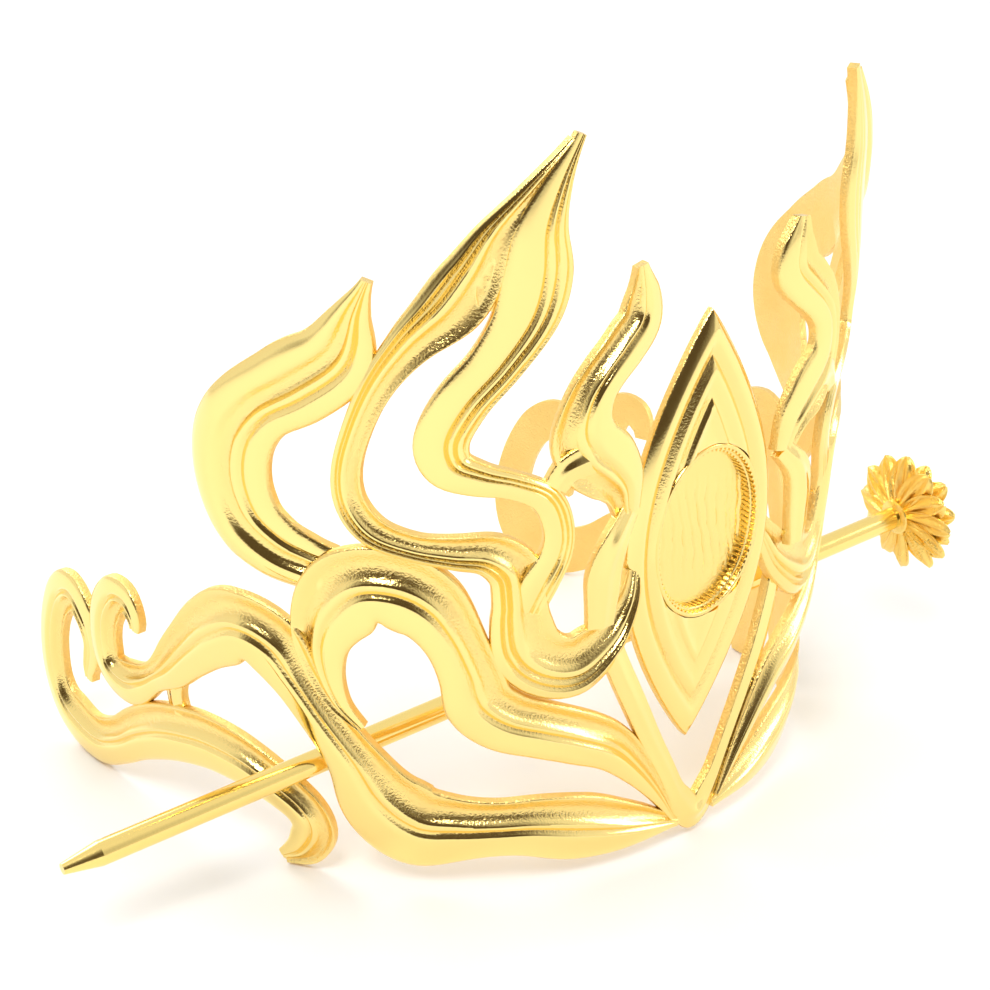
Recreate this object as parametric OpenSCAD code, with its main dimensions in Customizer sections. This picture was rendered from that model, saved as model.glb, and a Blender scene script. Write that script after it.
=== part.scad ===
// Open hair crown for a topknot: two pierced flame wings, a V frame and a
// marquise plaque soldered into one piece, an oval stone cup set into the
// plaque, and a straight hairpin with a flower head that slides through the
// lower openings of both wings.
// Frame: the V's lowest point is the origin, X to the wearer's left as seen
// from the front, Y to the back of the head, Z up. Lengths are millimetres.

/* [Wing] */
// Thickness of a strand at its rims
rim_t = 1.3; // [1:0.1:1.8]
// Depth of a strand's back behind the wing's surface
back_depth = 1.05; // [0.8:0.05:1.2]
// Height of the crest lines above the hollows of a strand
relief = 0.9; // [0.4:0.1:1.4]
// Half width from which a strand has its full relief
full_relief_half = 3.2; // [2:0.1:5]
// Longest stretch of a strand between two of its rings
ring_spacing = 4.6; // [4.6:0.2:8]
// How far the top of a wing bows back in towards the head
bow = 4.8; // [3:0.2:6]

/* [Plaque] */
// Half height of the plaque, from its centre to a point
plaque_half_h = 30.7; // [30.4:0.1:31]
// Half width of the plaque
plaque_half_w = 12.8; // [12.6:0.1:13]
// Thickness of the plaque's edge
plaque_edge_t = 1.5; // [1.2:0.1:2]
// Height of the plaque's centre above the base
plaque_z = 44.4; // [44:0.1:45]
// Depth of the plaque's centre behind the front vertex
plaque_y = 0.5; // [0:0.1:1]
// Forward lean of the plaque, in degrees
plaque_lean = 1.8; // [0:0.1:3]
// Turn of the plaque about the upright axis, in degrees
plaque_turn = -5; // [-6:0.5:-3]

/* [Stone cup] */
// Half width of the oval stone that the cup is made for
stone_half_w = 8.7; // [8.4:0.1:8.9]
// Half height of the oval stone
stone_half_h = 11.5; // [11.2:0.1:11.8]
// Depth of the cup's floor below the plaque's edge
floor_depth = 1.2; // [0.8:0.1:1.6]
// How far the cup reaches behind the plaque's face
cup_depth = 5.2; // [4.5:0.1:5.4]
// Number of reeds round the cup
reeds = 80; // [60:2:84]
// Gap between the cup and the plaque
cup_gap = 0.08; // [0.05:0.01:0.12]

/* [Hairpin] */
// Diameter of the shaft
pin_d = 3.3; // [3:0.1:3.4]
// Reach of the tip from the left wing's opening
pin_tip_reach = 34.5; // [33:0.5:40]
// Reach of the flower's back from the left wing's opening
pin_flower_reach = 104; // [102:0.5:108]
// Length of the sharpened tip
pin_point_len = 5; // [4:0.5:8]

/* [Flower] */
// Radius of the flower over its outer petals
flower_r = 9.6; // [9:0.1:10.5]
// Petals in its outer round
outer_petals = 12; // [10:1:12]

/* [Hidden] */
gold = [0.98, 0.82, 0.42];
deep_gold = [0.93, 0.72, 0.30];

// Plan of each wing from above, as arcs: distance from the mirror plane, heading.
// The right wing is bent out a little at the front and further in at the back.
LEFT_PLAN = [[0, 0], [18, 20], [36, 45], [54, 67], [72, 84], [84, 90], [96, 95], [130, 96]];
RIGHT_PLAN = [[0, -3], [18, 17], [36, 42], [54, 64], [72, 86], [84, 95], [96, 100], [130, 101]];
$plan = LEFT_PLAN;
// Outward lean of a wing: distance along the plan, lean per unit of height
LEAN = [[0, 0.02], [20, 0.10], [40, 0.125], [62, 0.15], [85, 0.08], [130, 0.06]];

// Columns of every strand table: distance along the plan, height above the
// base, half width of the strand, lift of the strand off the wing's surface
ALONG = 0; UP = 1; HALF = 2; LIFT = 3;

// Wave leg of the tall flame, from its tip to the fork
FRONT_LEG = [
    [22.8, 101.6, 0.4, 0], [25.2, 96.2, 1.6, 0], [26.8, 91, 2.9, 0], [27.1, 85.5, 3.9, 0],
    [28.3, 80.4, 3.7, 0], [31.4, 75, 3.1, 0], [35, 70.2, 3.1, 0], [37.1, 65.4, 3, 0],
    [36.3, 61.8, 2.9, 0], [33.2, 60.2, 2.2, 0], [29.3, 59, 1.7, 0], [25.8, 56.9, 1.9, 0],
    [24.3, 53.1, 1.8, 0], [24.4, 49.5, 1.9, 0], [26.2, 45.4, 2.6, 0]];
// Rear leg of the tall flame, running on round the U below it to the plaque
REAR_LEG = [
    [23.6, 101, 0.4, 0], [28, 95.6, 1.1, 0], [31.5, 91, 1.8, 0], [33.8, 86, 3.4, 0],
    [36.3, 81.8, 3.7, 0], [40.2, 77.6, 2.5, 0], [43.4, 72.8, 1.9, 0], [45.7, 67.3, 1.6, 0],
    [47.2, 61.5, 1.6, 0], [46.9, 57, 1.8, 0.2], [44.6, 53.4, 2.1, 0.4], [40.5, 51.5, 1.8, 0.4],
    [36, 50.6, 2.3, 0.3], [32, 50, 2.9, 0.1], [29.3, 47.5, 3.2, 0], [28.6, 43.5, 3.1, 0],
    [28.4, 40.5, 3.6, 0], [27.6, 36.4, 4.3, 0], [25.2, 33.8, 4.7, 0], [21.5, 32.9, 4.9, 0],
    [17.6, 34.9, 3.7, -0.4], [15.2, 37, 2.9, -0.9], [13.2, 40, 2.6, -1.4]];
// Sunk web between the two legs, inside the tall flame's head
HEAD_WEB = [
    [23.8, 100, 0.7, -0.4], [28, 93.6, 1.7, -0.5], [30.8, 87.4, 2.8, -0.5], [31.6, 81.4, 1.6, -0.5]];
// Rear flame, from its tip to where it ends behind the arch
REAR_FLAME = [
    [44.3, 85.4, 0.4, 0], [46, 81.4, 2, 0], [48, 75.9, 4.6, 0], [52.6, 71.8, 5.2, 0],
    [57.3, 68.3, 4.7, 0], [60.4, 63.7, 5.1, 0], [61.3, 58.1, 5.3, 0], [59.8, 52.8, 5.2, 0],
    [56.4, 49.3, 4.6, 0], [52.9, 47.5, 4, -0.2], [50.2, 46.6, 3.3, -0.4]];
// Small flame beside the plaque
INNER_FLAME = [
    [14.2, 84.3, 0.4, 0], [13.7, 80.8, 2.8, 0], [13.9, 77.5, 3.7, 0], [16.3, 74.8, 3.5, 0],
    [19, 72, 3.2, 0], [20.8, 69, 3, 0], [21.5, 65, 3.9, 0], [20.2, 61.8, 4.8, 0],
    [17.6, 59, 4.3, 0], [15.5, 56, 3.2, -0.3], [14.6, 52.1, 1.7, -0.8]];
// Short link from the small flame to the wave leg
INNER_LINK = [[20.4, 61.4, 2.4, -0.1], [23.3, 60.3, 1.9, -0.1], [24.8, 58.2, 1.4, -0.1]];
// Leaf between the small flame and the U
LEAF = [
    [14.2, 52.4, 1.4, -0.8], [16.6, 49.4, 2, 0], [18, 45.5, 2.6, 0], [18.2, 41.5, 2.3, 0],
    [18.4, 37.6, 1.8, 0]];
// Middle band from the V up to the arch and down its hanging hook
ARCH = [
    [4.4, 3.8, 0.4, 0], [7.6, 9, 1.4, 0], [11.5, 14.3, 2.4, 0], [15.5, 18.6, 3.3, 0],
    [20.3, 21.5, 3.9, 0], [25, 23.6, 4.1, 0], [29.8, 25.6, 4.4, 0], [33, 28.6, 4.4, 0],
    [34.2, 33, 3.7, 0], [36.2, 38.4, 3.7, 0], [38.8, 42.6, 4.9, 0], [42.4, 44.7, 6.1, 0],
    [46.8, 44.5, 6.3, 0], [50, 41, 5, 0], [51.6, 36.5, 3.5, 0], [51.3, 31.9, 2.3, 0],
    [49.8, 27.8, 1.4, 0], [47.2, 24.6, 0.5, 0]];
// Lowest band from the V, up over the lower opening and round the inner curl
SWEEP = [
    [3.4, 2.8, 0.4, 0], [8.3, 4.3, 2.4, 0], [13.8, 5.7, 4, 0], [19.9, 7.4, 5.1, 0],
    [26, 8.8, 4.7, 0], [31, 9.1, 4.4, 0], [36, 9.2, 5.2, 0], [41, 9.6, 6.6, 0],
    [45.4, 13.2, 6.1, 0], [48.5, 19.2, 3.9, 0], [52.2, 25.3, 3.4, 0], [55.4, 30.7, 3.8, 0],
    [58.2, 34.8, 5.4, 0], [62.8, 36.3, 5.7, 0], [68, 33.4, 4.8, 0], [73.3, 28.6, 3.9, 0],
    [77.4, 24.6, 3.3, 0], [80.9, 21.9, 2, 0], [84.1, 19.7, 2.8, 0], [88, 18.1, 3.6, 0],
    [91.8, 19.2, 3.5, 0], [92.8, 23.1, 3.4, 0], [91.6, 27.8, 3.2, 0], [88.6, 31.2, 3.1, 0],
    [85.6, 31.4, 2.6, 0], [84.2, 29.2, 1.8, 0], [84.2, 27.6, 0.7, 0]];
// Short leg from the lowest band down to the rear strand
SHORT_LEG = [[75.6, 25, 1.9, -0.3], [76.9, 21.4, 1.6, -0.4], [77.2, 17.4, 1.9, -0.8]];
// Rear strand, from the foot behind the sweep over the outer curl to its ball
REAR_STRAND = [
    [60.1, 1, 0.7, 0], [57, 2.9, 2.9, 0], [55.1, 6.4, 3.1, 0], [56.2, 9.8, 3.3, 0],
    [60.1, 12.8, 3.7, 0], [65, 15, 4.4, 0], [71, 15.5, 4.5, 0], [77.2, 14.3, 4.4, 0],
    [82.4, 12.5, 4.3, 0], [87.8, 9.7, 3.9, 0], [92.8, 6.5, 3.5, 0], [98.2, 4.3, 3.9, 0],
    [103, 4.6, 4.6, 0], [107, 6.4, 4.3, 0], [109, 10.2, 3.4, 0], [109.1, 14.8, 3.2, 0],
    [107.6, 20.4, 3, 0], [104.6, 25.2, 3.1, 0], [100.6, 27, 3.4, 0], [97.6, 24.2, 2.9, 0],
    [96.7, 20.4, 2, 0], [97.6, 17.4, 1.7, 0], [98.4, 15.6, 1.6, 0], [98.5, 14.2, 0.6, 0]];
// One arm of the V frame, from its vertex up behind the plaque
FRAME_ARM = [
    [0, 3.15, 3.15, 0], [3.3, 6.5, 1.7, 0], [6.4, 12.4, 1.5, 0], [9.4, 18.1, 1.6, 0],
    [12.2, 24, 1.7, 0], [14.6, 29.4, 1.7, -0.3], [16, 33, 1.6, -0.6]];

// Columns of a cross-section: place across the strand from -1 to 1, height
// where 0 is the back, 1 the rims and more than 1 a crest
ACROSS = 0; HEIGHT = 1;
FLUTED = [
    [-1, 0.75], [-0.5, 0.5], [-0.14, 1.5], [0.06, 1.05], [0.26, 1.5], [0.85, 1.2], [1, 0.75]];
RIDGED = [[-1, 0.8], [0, 1.7], [1, 0.8]];
FLAT = [[-1, 0.8], [1, 0.8]];
BACK = [[1, 0], [-1, 0]];

// Plaque's section from its edge inwards: inset from the outline, height
PLAQUE_STEPS = [
    [0, -0.75], [0.3, -0.45], [2.2, 0.3], [2.5, -0.3], [4.3, 0.45], [4.6, 0.45],
    [5, 0.05], [6.6, 0.2]];
plaque_sides = 13;
// Lengthwise inset of the points for each unit of inset, and how full the sides are
plaque_tip_inset = 1.8;
plaque_fullness = 0.9;
stone_shift = 0.8;
stone_rise = 0.1;
cup_wall = 0.7;
cup_rim_above = 0.4;

// The hairpin's axis: where it passes the left wing, and where the right one
PIN_LEFT = [-44.8, 28.2, 16.7];
PIN_RIGHT = [37.5, 13.9, 23.6];
pin_dir = (PIN_RIGHT - PIN_LEFT) / norm(PIN_RIGHT - PIN_LEFT);
pin_turn = atan2(pin_dir[1], pin_dir[0]);
pin_tilt = 90 - asin(pin_dir[2]);
flower_gap = 0.05;
boss_r = 2.66;
boss_height = 4.5;
// Roll of each petal about its own length, so that one edge lies over its neighbour
petal_roll = 9;

function total(list, i = 0) = i < len(list) ? list[i] + total(list, i + 1) : [0, 0];
// Plan offset over an arc of length span, from heading h0 to heading h1
function arc_step(span, h0, h1) = abs(h1 - h0) < 0.01
    ? span * [cos(h0), sin(h0)]
    : span * 180 / PI / (h1 - h0) * [sin(h1) - sin(h0), cos(h0) - cos(h1)];
function plan_point(u) = total([for (i = [0 : len($plan) - 2])
    let (a = $plan[i][0], b = min(u, $plan[i + 1][0]))
    if (b > a) arc_step(b - a, lookup(a, $plan), lookup(b, $plan))]);
// Point of the wing's surface u along the plan and v up, moved outwards
function on_wing(u, v, outwards) = let (
        a = abs(u), p = plan_point(a), h = lookup(a, $plan),
        w = lookup(a, LEAN) * v - bow * pow(v / 100, 2) + outwards)
    [(u < 0 ? -1 : 1) * (p[0] + sin(h) * w), p[1] - cos(h) * w, max(v, 0)];

// Smooth curve through the rows of a table
function spline(a, b, c, d, t) = 0.5 * (2 * b + (c - a) * t + (2 * a - 5 * b + 4 * c - d) * t * t
    + (3 * b - a - 3 * c + d) * t * t * t);
function smooth_rows(rows) = let (n = len(rows)) concat(
    [for (i = [0 : n - 2]) let (steps = ceil(norm(flat(rows[i + 1]) - flat(rows[i])) / ring_spacing))
        for (k = [0 : steps - 1]) spline(
            i > 0 ? rows[i - 1] : 2 * rows[0] - rows[1], rows[i], rows[i + 1],
            i + 2 < n ? rows[i + 2] : 2 * rows[n - 1] - rows[n - 2], k / steps)],
    [rows[n - 1]]);
function mirrored(rows) = [for (r = rows) [-r[ALONG], r[UP], r[HALF], r[LIFT]]];
function reversed(list) = [for (i = [len(list) - 1 : -1 : 0]) list[i]];
function flat(r) = [r[ALONG], r[UP]];
function unit(v) = v / max(norm(v), 0.001);
// Signed curvature at row i, positive where the strand bends to its left
function bend(rows, i) = i == 0 || i == len(rows) - 1 ? 0 : let (
        p = flat(rows[i]) - flat(rows[i - 1]), q = flat(rows[i + 1]) - flat(rows[i]))
    2 * (p[0] * q[1] - p[1] * q[0]) / (norm(p) * norm(q) * norm(p + q));
// Width on one side, kept inside the bend so that the strand never folds
function side_width(half, curvature, across) = let (turn = curvature * sign(across))
    turn * half > 0.85 ? 0.85 / turn : half;

// One ring of points round the strand at row i
function ring(rows, i, section) = let (
        r = rows[i], n = len(rows),
        d = unit(flat(rows[min(i + 1, n - 1)]) - flat(rows[max(i - 1, 0)])),
        left = [-d[1], d[0]], k = bend(rows, i),
        full = min(1, r[HALF] / full_relief_half))
    [for (s = section) let (
            wide = -s[ACROSS] * side_width(r[HALF], k, -s[ACROSS]),
            high = s[HEIGHT] > 0 ? rim_t + (s[HEIGHT] - 1) * relief * full : 0)
        on_wing(r[ALONG] + left[0] * wide, r[UP] + left[1] * wide, high - back_depth + r[LIFT])];

// A strand swept through the rows of its table
module strand(table, section = FLUTED, back = BACK) {
    rows = smooth_rows(table);
    full = concat(section, back);
    m = len(full);
    n = len(rows);
    points = [for (i = [0 : n - 1]) each ring(rows, i, full)];
    walls = [for (i = [0 : n - 2], j = [0 : m - 1]) let (
            a = i * m + j, b = i * m + (j + 1) % m)
        each [[a, b + m, b], [a, a + m, b + m]]];
    ends = [[for (j = [0 : m - 1]) j], [for (j = [m - 1 : -1 : 0]) (n - 1) * m + j]];
    polyhedron(points, concat(walls, ends), 4);
}

module wing() {
    strand(FRONT_LEG);
    strand(REAR_LEG);
    strand(HEAD_WEB, FLAT);
    strand(REAR_FLAME);
    strand(INNER_FLAME);
    strand(INNER_LINK, RIDGED);
    strand(LEAF, RIDGED);
    strand(ARCH);
    strand(SWEEP);
    strand(SHORT_LEG, RIDGED);
    strand(REAR_STRAND);
}

module left_wing() { mirror([1, 0, 0]) wing(); }
module right_wing() {
    $plan = RIGHT_PLAN;
    wing();
}
module front_frame() {
    arms = concat(reversed(mirrored(FRAME_ARM)), [for (i = [1 : len(FRAME_ARM) - 1]) FRAME_ARM[i]]);
    strand(arms, RIDGED);
}

// Points round the marquise, inset from its outline, at one height
function marquise(inset, height) = let (
        half_w = plaque_half_w - inset, half_h = plaque_half_h - inset * plaque_tip_inset)
    [for (side = [1, -1], i = [0 : plaque_sides - 1]) let (t = 2 * i / plaque_sides - 1)
        side * [half_w * pow(cos(90 * t), plaque_fullness), half_h * t, 0] + [0, 0, height]];

// Carries flat work on the plaque: X right, Y up the plaque, Z out of its face
module on_plaque() {
    translate([0, plaque_y, plaque_z]) rotate([90 + plaque_lean, 0, plaque_turn]) children();
}

module plaque_plate() {
    rings = concat([marquise(0, -plaque_edge_t)], [for (s = PLAQUE_STEPS) marquise(s[0], s[1])]);
    m = 2 * plaque_sides;
    n = len(rings);
    walls = [for (i = [0 : n - 2], j = [0 : m - 1]) let (a = i * m + j, b = i * m + (j + 1) % m)
        each [[a, b + m, b], [a, a + m, b + m]]];
    ends = [[for (j = [0 : m - 1]) j], [for (j = [m - 1 : -1 : 0]) (n - 1) * m + j]];
    polyhedron([for (r = rings) each r], concat(walls, ends), 4);
}

module oval(half_w, half_h, height, sides) {
    scale([half_w, half_h, 1]) cylinder(h = height, r = 1, $fn = sides);
}

// The inner marquise ridge, a row of short bars along the two arcs
module inner_ridge(inset) {
    line = marquise(inset, 0.2);
    for (i = [0 : len(line) - 1]) hull() {
        translate(line[i]) cylinder(h = 0.5, r1 = 0.4, r2 = 0.1, $fn = 4);
        translate(line[(i + 1) % len(line)]) cylinder(h = 0.5, r1 = 0.4, r2 = 0.1, $fn = 4);
    }
}

module plaque() {
    on_plaque() difference() {
        union() {
            plaque_plate();
            inner_ridge(7.2);
        }
        translate([stone_shift, stone_rise, -5])
            oval(stone_half_w + cup_wall + cup_gap, stone_half_h + cup_wall + cup_gap, 10, 48);
    }
}

module crown_frame() {
    color(gold) union() {
        left_wing();
        right_wing();
        front_frame();
        plaque();
    }
}

// Oval with reeds cut round it
module reeded_oval(half_w, half_h, deep) {
    polygon([for (i = [0 : 2 * reeds - 1]) let (a = 180 * i / reeds, cut = i % 2 == 0 ? 0 : deep)
        [(half_w - cut) * cos(a), (half_h - cut) * sin(a)]]);
}

module stone_cup() {
    color(deep_gold) on_plaque() translate([stone_shift, stone_rise, 0]) difference() {
        translate([0, 0, -cup_depth]) linear_extrude(cup_depth + cup_rim_above)
            reeded_oval(stone_half_w + cup_wall, stone_half_h + cup_wall, 0.3);
        translate([0, 0, -floor_depth]) linear_extrude(floor_depth + 1)
            reeded_oval(stone_half_w + 0.25, stone_half_h + 0.25, 0.25);
        translate([0, 0, -cup_depth - 1]) linear_extrude(cup_depth + 1 - floor_depth - 0.8)
            scale([stone_half_w - 0.3, stone_half_h - 0.3]) circle(1, $fn = 48);
    }
}

// Carries work on the hairpin: Z along its axis, zero at the left wing
module on_pin() {
    translate(PIN_LEFT) rotate([0, 0, pin_turn]) rotate([0, pin_tilt, 0]) children();
}

module pin_shaft() {
    color(gold) on_pin() {
        straight = pin_flower_reach + pin_tip_reach - pin_point_len;
        translate([0, 0, pin_point_len - pin_tip_reach]) cylinder(h = straight, d = pin_d, $fn = 48);
        translate([0, 0, -pin_tip_reach]) cylinder(h = pin_point_len, d1 = pin_d * 0.45, d2 = pin_d, $fn = 48);
    }
}

// One pointed petal, from the boss out to its tip, raised by its tilt
module petal(reach, half, tilt, rise) {
    translate([0, 0, rise]) rotate([0, -tilt, 0]) rotate([petal_roll, 0, 0]) hull() {
        translate([1.2, 0, 0]) cube([0.4, half * 0.7, 0.8], center = true);
        translate([reach * 0.62, 0, 0]) cylinder(h = 0.6, r = half, center = true, $fn = 6);
        translate([reach - 0.3, 0, 0.1]) cylinder(h = 0.4, r = 0.3, center = true, $fn = 4);
    }
}

// Columns of a round of petals: number, reach, half width, tilt, rise, part of a step turned
COUNT = 0; REACH = 1; WIDE = 2; TILT = 3; RISE = 4; TURN = 5;
ROUNDS = [
    [outer_petals, 1, 1.4, 11, 0.8, 0], [outer_petals - 2, 0.9, 1.3, 29, 1.8, 0.3],
    [5, 0.62, 1.1, 48, 2.3, 0.2]];

module flower_head() {
    color(deep_gold) on_pin() translate([0, 0, pin_flower_reach + flower_gap]) union() {
        cylinder(h = boss_height, r1 = boss_r, r2 = boss_r * 0.84, $fn = 12);
        for (r = ROUNDS, i = [0 : r[COUNT] - 1]) rotate([0, 0, (i + r[TURN]) * 360 / r[COUNT]])
            petal(r[REACH] * flower_r, r[WIDE], r[TILT], r[RISE]);
    }
}

crown_frame();
stone_cup();
pin_shaft();
flower_head();
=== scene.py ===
# %% [markdown]
# # A gold hair crown with a flower hairpin
# The crown is one cast and soldered piece of metal: two pierced wings of flame
# strands, a V at the front and a marquise plaque. An oval cup for a stone is set
# into the plaque, and a straight pin with a flower slides through both wings.
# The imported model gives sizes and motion. This file dresses it: each strand gets
# its cast relief, the cup its reeds, the flower its ribbed petals, and all of it
# gets plated gold.

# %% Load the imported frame
import math

import bpy
import numpy as np
from mathutils import Matrix, Vector


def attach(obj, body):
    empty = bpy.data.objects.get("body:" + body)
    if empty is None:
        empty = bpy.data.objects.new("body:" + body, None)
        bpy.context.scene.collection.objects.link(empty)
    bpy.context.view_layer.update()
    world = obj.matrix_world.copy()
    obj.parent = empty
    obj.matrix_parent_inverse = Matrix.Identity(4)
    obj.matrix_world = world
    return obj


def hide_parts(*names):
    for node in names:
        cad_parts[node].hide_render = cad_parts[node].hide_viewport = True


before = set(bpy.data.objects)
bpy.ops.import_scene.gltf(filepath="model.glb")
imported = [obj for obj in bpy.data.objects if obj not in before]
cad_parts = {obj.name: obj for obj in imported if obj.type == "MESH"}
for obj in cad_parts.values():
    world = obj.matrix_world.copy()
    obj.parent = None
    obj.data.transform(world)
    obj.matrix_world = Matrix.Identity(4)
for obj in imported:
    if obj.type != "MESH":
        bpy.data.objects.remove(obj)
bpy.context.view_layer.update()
MM = 0.001

# %% [markdown]
# ## The camera
# The photograph is taken from the front left and a little above, with a long
# lens. A camera could be placed by eye, but behind a long lens a wrong distance
# hardly shows until the near and far wing disagree. So its place was worked out
# from points that are easy to find: the V's point, the plaque's tips, the flame
# tips and both ends of the pin.

# %% Camera
CAMERA_AT = (-0.20426, -0.16736, 0.16475)
CAMERA_HEADING, CAMERA_DOWN = -44.77, 23.61  # degrees
CAMERA_LENS = 81.38  # mm

camera = bpy.data.objects.new("camera", bpy.data.cameras.new("camera"))
bpy.context.collection.objects.link(camera)
camera.location = CAMERA_AT
camera.rotation_euler = (math.radians(90 - CAMERA_DOWN), 0, math.radians(CAMERA_HEADING))
camera.data.lens = CAMERA_LENS
camera.data.clip_start = 0.01
bpy.context.scene.camera = camera
print("camera:", CAMERA_LENS, "mm lens at", CAMERA_AT)

# %% [markdown]
# ## The gold
# The plating is one metal with two finishes. Raised faces are polished, so they
# mirror the studio. Hollows, side walls and backs keep the sandy skin of the
# casting, painted a deeper and more orange colour as shade for the light caught
# in it. Two materials would meet in a hard line. So there is one, and it reads an
# attribute of the mesh, from 0 where it is polished to 1 where it is sandy and shaded.
# Two noises do the rest. Wide soft clouds vary the gloss a little, as handling
# does, and fine grains raise a bump where the skin is sandy.


# %% A node with its sockets filled in
def add_node(tree, kind, plugs=None, **settings):
    """A new node: its settings first, then each socket linked or set."""
    node = tree.nodes.new(kind)
    for setting, value in settings.items():
        setattr(node, setting, value)
    for socket, value in (plugs or {}).items():
        if isinstance(value, bpy.types.NodeSocket):
            tree.links.new(value, node.inputs[socket])
        else:
            node.inputs[socket].default_value = value
    return node


# %% Plated gold materials
# The second colour is the sandy skin's, painted deeper and more orange as shade for light caught
# in hollows.
POLISHED, SHADED_SKIN = (0.97, 0.755, 0.28), (0.96, 0.67, 0.22)
CLOUD_SCALE, SAND_SCALE = 160, 3400  # to the metre
CLOUD_LOW, CLOUD_HIGH = 0.35, 0.65
CLEANER, DULLER = 0.75, 1.3  # times the roughness, at those two
SAND_ON_POLISHED, SAND_ON_SKIN = 0.03, 0.9
SAND_HEIGHT = 0.0002  # metres


def gold(name, polished, shaded_skin, smooth=0.11, rough=0.4):
    """Plated gold that runs from polished to sandy by an attribute, which also paints the sandy
    places a deeper orange as shade.
    """
    material = bpy.data.materials.new(name)
    material.use_nodes = True
    tree = material.node_tree
    place = add_node(tree, "ShaderNodeTexCoord").outputs["Object"]
    satin_and_shade = add_node(tree, "ShaderNodeAttribute", attribute_name="satin_and_shade").outputs["Fac"]
    cloud = add_node(tree, "ShaderNodeTexNoise", {
        "Vector": place, "Scale": CLOUD_SCALE, "Detail": 3})
    sand = add_node(tree, "ShaderNodeTexNoise", {
        "Vector": place, "Scale": SAND_SCALE, "Detail": 2})
    # The colour runs from the polished gold to the painted shade of the sandy skin.
    colour = add_node(tree, "ShaderNodeMix", {
        "Factor": satin_and_shade, "A": (*polished, 1), "B": (*shaded_skin, 1)}, data_type="RGBA")
    base = add_node(tree, "ShaderNodeMapRange", {
        "Value": satin_and_shade, "To Min": smooth, "To Max": rough})
    wander = add_node(tree, "ShaderNodeMapRange", {
        "Value": cloud.outputs["Fac"], "From Min": CLOUD_LOW, "From Max": CLOUD_HIGH,
        "To Min": CLEANER, "To Max": DULLER})
    roughness = add_node(tree, "ShaderNodeMath", {
        0: base.outputs["Result"], 1: wander.outputs["Result"]}, operation="MULTIPLY")
    grain = add_node(tree, "ShaderNodeMapRange", {
        "Value": satin_and_shade, "To Min": SAND_ON_POLISHED, "To Max": SAND_ON_SKIN})
    bump = add_node(tree, "ShaderNodeBump", {
        "Strength": grain.outputs["Result"], "Height": sand.outputs["Fac"],
        "Distance": SAND_HEIGHT})
    shader = tree.nodes["Principled BSDF"]
    shader.inputs["Metallic"].default_value = 1.0
    tree.links.new(colour.outputs["Result"], shader.inputs["Base Color"])
    tree.links.new(roughness.outputs["Value"], shader.inputs["Roughness"])
    tree.links.new(bump.outputs["Normal"], shader.inputs["Normal"])
    return material


crown_gold = gold("crown gold", POLISHED, SHADED_SKIN)
pin_gold = gold("pin gold", (0.97, 0.73, 0.24), SHADED_SKIN, smooth=0.13)
cup_gold = gold("cup gold", (0.97, 0.73, 0.26), (0.95, 0.66, 0.2), smooth=0.14, rough=0.34)
flower_gold = gold("flower gold", (1.0, 0.75, 0.25), (0.97, 0.66, 0.17), smooth=0.16, rough=0.36)
print("materials:", [m.name for m in (crown_gold, pin_gold, cup_gold, flower_gold)])

# %% [markdown]
# ## The wing's surface
# Both wings are drawn flat first, like a paper pattern: one number runs along
# the plan, from the mirror plane to the back of the head, and the other runs up.
# The pattern is then rolled onto a horseshoe of arcs that leans outwards. Points
# could be drawn straight in space, but each would need three numbers and soon
# leave the wing. The frame was built from the same tables, so the dressed
# strands fall on its strands. The right wing was bent by hand to a slightly
# different horseshoe, so each wing has a plan of its own.

# %% Plans and lean: distance along in mm, then heading in degrees or lean per mm
LEFT_PLAN = np.array([
    [0, 0], [18, 20], [36, 45], [54, 67], [72, 84], [84, 90], [96, 95], [130, 96]], float)
RIGHT_PLAN = np.array([
    [0, -3], [18, 17], [36, 42], [54, 64], [72, 86], [84, 95], [96, 100], [130, 101]], float)
LEAN = np.array([[0, 0.02], [20, 0.10], [40, 0.125], [62, 0.15], [85, 0.08], [130, 0.06]])
BOW = 4.8  # mm that the wing curves back in at a height of 100 mm


# %% Roll a flat pattern onto the wing
def plan_point(along, plan):
    """Place on the plan, in mm, after each distance along its arcs."""
    x, y = np.zeros_like(along), np.zeros_like(along)
    for (a, heading), (b, _) in zip(plan[:-1], plan[1:]):
        end = np.clip(along, a, b)
        h0, h1 = math.radians(heading), np.radians(np.interp(end, plan[:, 0], plan[:, 1]))
        turn, span = h1 - h0, end - a
        bent = np.abs(turn) > 1e-6
        safe = np.where(bent, turn, 1)
        x += np.where(bent, span * (np.sin(h1) - np.sin(h0)) / safe, span * np.cos(h0))
        y += np.where(bent, span * (np.cos(h0) - np.cos(h1)) / safe, span * np.sin(h0))
    return x, y


def on_wing(along, up, outwards, plan):
    """Points in metres for pattern places, moved outwards by some mm."""
    side = np.abs(along)
    x, y = plan_point(side, plan)
    heading = np.radians(np.interp(side, plan[:, 0], plan[:, 1]))
    out = np.interp(side, LEAN[:, 0], LEAN[:, 1]) * up - BOW * (up / 100) ** 2 + outwards
    sign = np.where(along < 0, -1, 1)
    return np.stack([sign * (x + np.sin(heading) * out), y - np.cos(heading) * out,
                     np.maximum(up, 0)], axis=-1) * MM


for side_name, plan in (("left", LEFT_PLAN), ("right", RIGHT_PLAN)):
    print(side_name, "wing's plan ends at", [round(float(v), 1) for v in plan_point(110.0, plan)])
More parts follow.
